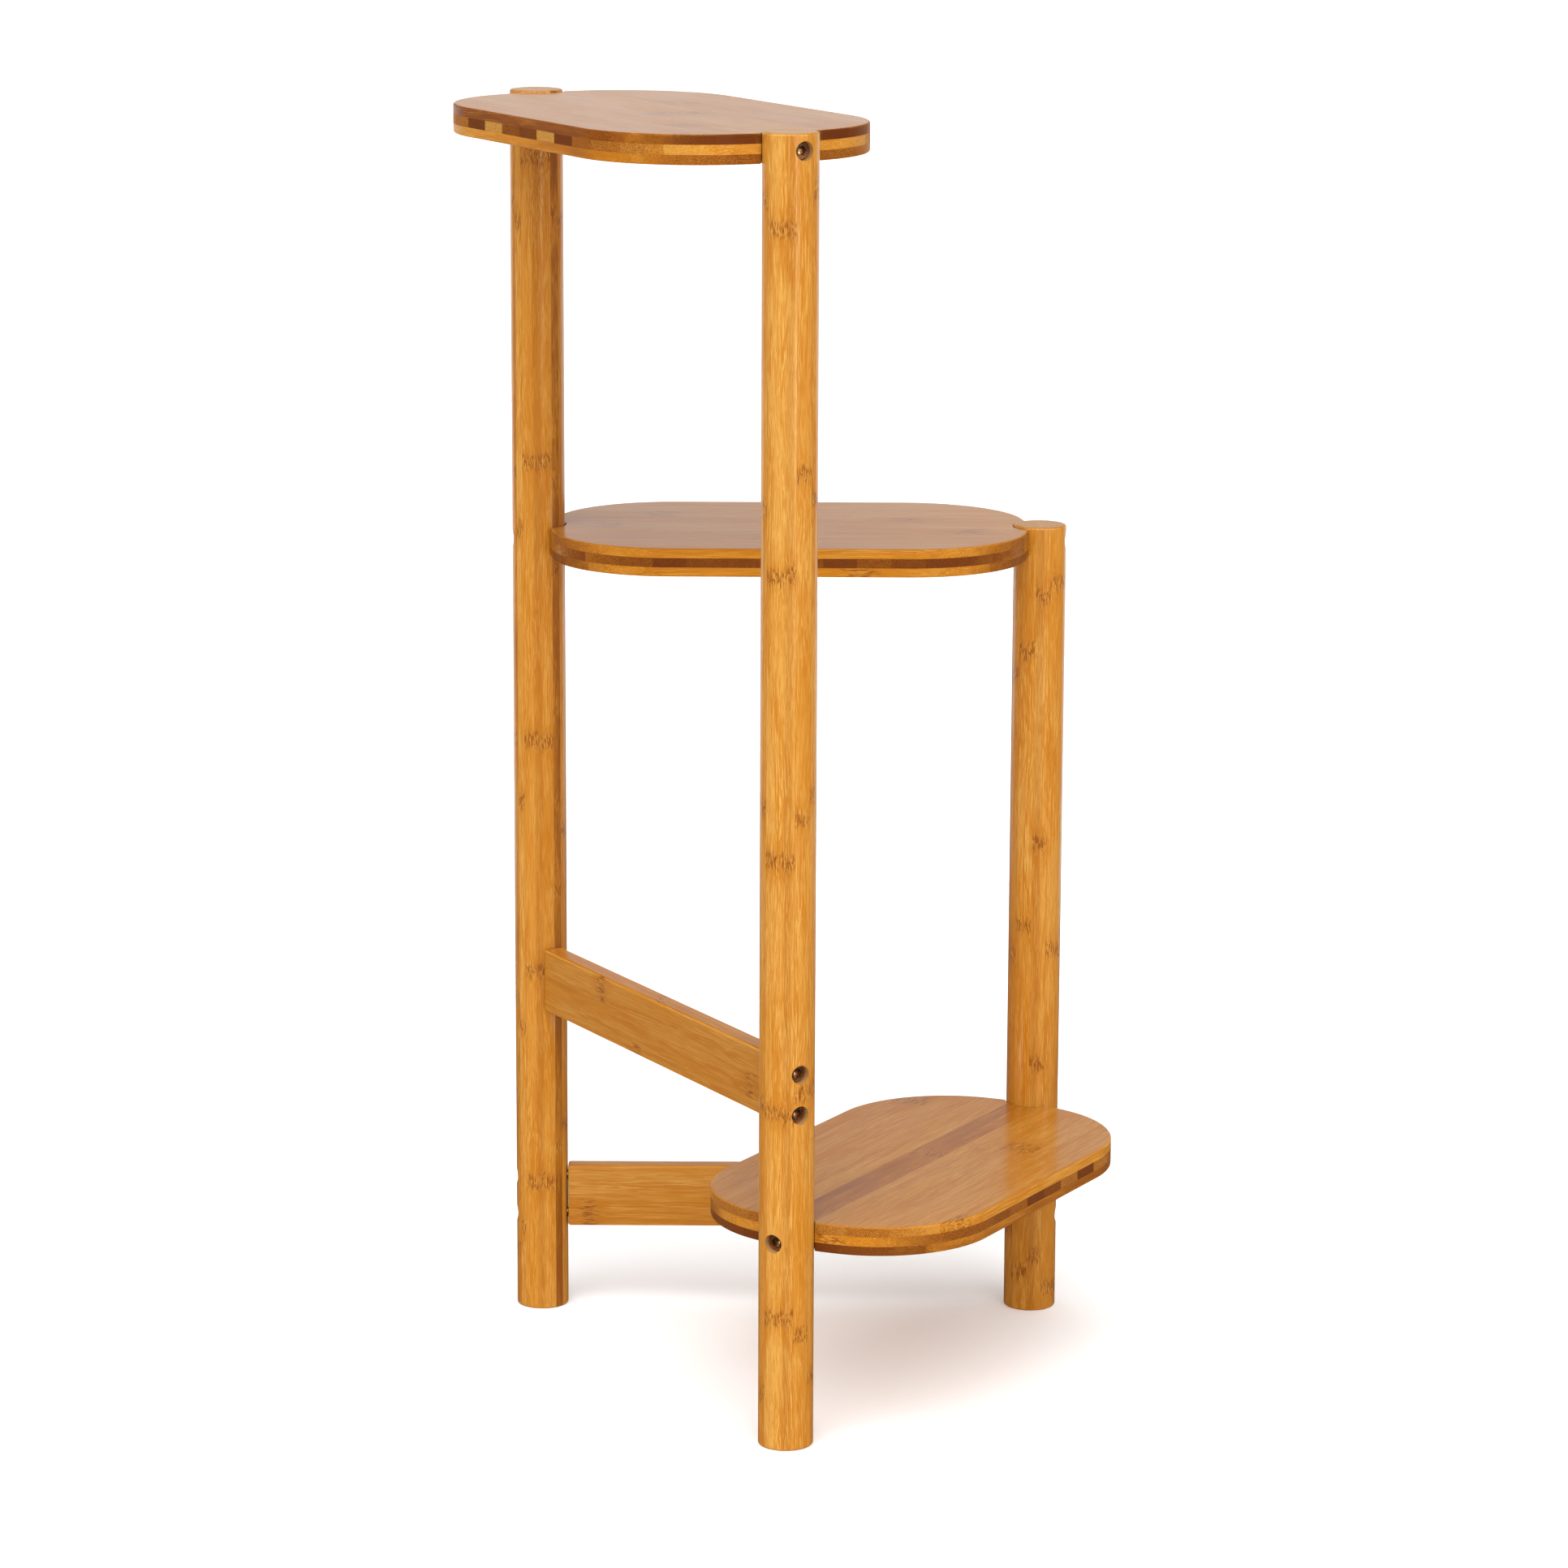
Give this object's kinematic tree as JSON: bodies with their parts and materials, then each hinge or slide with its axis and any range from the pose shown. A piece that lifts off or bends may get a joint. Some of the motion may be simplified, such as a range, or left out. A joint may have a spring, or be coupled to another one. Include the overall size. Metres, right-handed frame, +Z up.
{
  "type": "tiered plant stand",
  "caption": "Free-standing bamboo plant stand: round legs on a triangle carry round-ended shelves at stepped heights, with flat rails below, all bolted.",
  "frame": {"origin": "on the floor, under the middle of the stand's outline", "axes": "+Z up along the legs, -Y towards the front leg, +X towards the short leg"},
  "size_m": [0.3956, 0.3686, 0.76],
  "materials": {
    "leg_bamboo": "satin lacquered laminated bamboo, golden, grain along the leg",
    "shelf_bamboo": "satin lacquered three-ply bamboo board, carbonised and natural strips",
    "rail_bamboo": "satin lacquered laminated bamboo, grain along the rail",
    "bolt_bronze": "satin bronze plating",
    "insert_zinc": "plain zinc, dull"
  },
  "bodies": {
    "root": {"leg_left": "leg_bamboo", "leg_right": "leg_bamboo", "leg_front": "leg_bamboo", "shelf_top": "shelf_bamboo", "bolt_shelf_top_left": "bolt_bronze", "insert_shelf_top_left": "insert_zinc", "bolt_shelf_top_front": "bolt_bronze", "insert_shelf_top_front": "insert_zinc", "shelf_middle": "shelf_bamboo", "bolt_shelf_middle_left": "bolt_bronze", "insert_shelf_middle_left": "insert_zinc", "bolt_shelf_middle_right": "bolt_bronze", "insert_shelf_middle_right": "insert_zinc", "shelf_bottom": "shelf_bamboo", "bolt_shelf_bottom_front": "bolt_bronze", "insert_shelf_bottom_front": "insert_zinc", "bolt_shelf_bottom_right": "bolt_bronze", "insert_shelf_bottom_right": "insert_zinc", "rail_upper": "rail_bamboo", "bolt_rail_upper_left_high": "bolt_bronze", "insert_rail_upper_left_high": "insert_zinc", "bolt_rail_upper_left_low": "bolt_bronze", "insert_rail_upper_left_low": "insert_zinc", "bolt_rail_upper_front_high": "bolt_bronze", "insert_rail_upper_front_high": "insert_zinc", "bolt_rail_upper_front_low": "bolt_bronze", "insert_rail_upper_front_low": "insert_zinc", "rail_lower": "rail_bamboo", "bolt_rail_lower_left_high": "bolt_bronze", "insert_rail_lower_left_high": "insert_zinc", "bolt_rail_lower_left_low": "bolt_bronze", "insert_rail_lower_left_low": "insert_zinc", "bolt_rail_lower_right_high": "bolt_bronze", "insert_rail_lower_right_high": "insert_zinc", "bolt_rail_lower_right_low": "bolt_bronze", "insert_rail_lower_right_low": "insert_zinc"}
  },
  "joints": []
}
